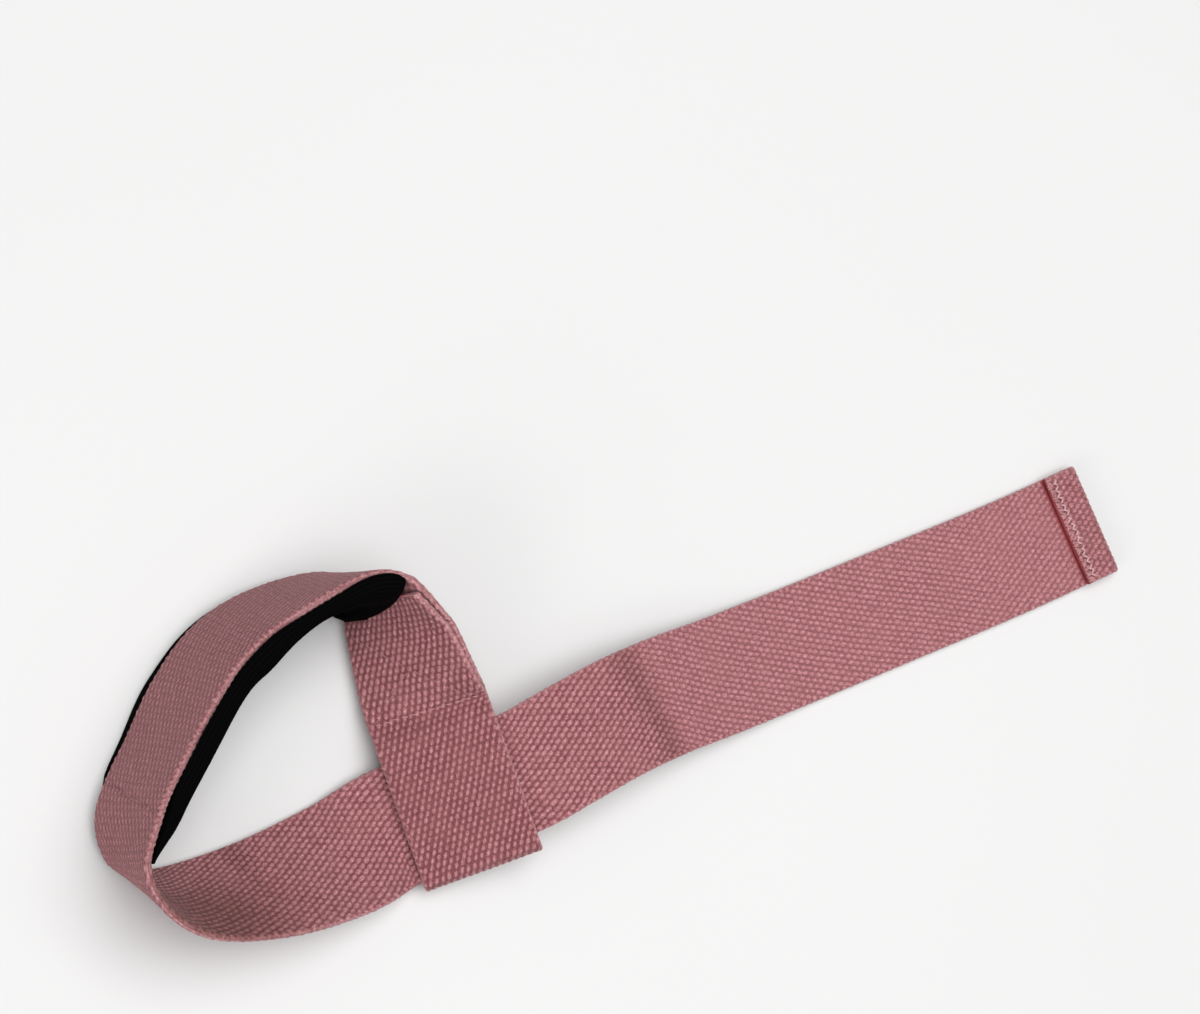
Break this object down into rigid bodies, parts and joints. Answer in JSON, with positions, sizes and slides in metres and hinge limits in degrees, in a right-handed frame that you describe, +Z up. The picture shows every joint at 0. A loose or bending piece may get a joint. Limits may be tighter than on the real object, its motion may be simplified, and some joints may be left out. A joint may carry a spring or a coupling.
{
  "type": "weightlifting strap",
  "caption": "Woven webbing strap with a padded wrist loop, its tail drawn through a sewn eye and lying out straight to a folded hem.",
  "frame": {"origin": "the middle of the strap's box in plan, on the surface that the strap lies on", "axes": "+X runs along the tail from the eye to the hem, +Y runs across it towards the padded side of the loop, +Z is up"},
  "size_m": [0.3484, 0.1088, 0.0419],
  "materials": {
    "webbing": "coarse dusty pink cotton webbing",
    "pad": "matt black knit over foam"
  },
  "bodies": {
    "root": {"webbing_strap": "webbing", "wrist_pad": "pad"}
  },
  "joints": []
}
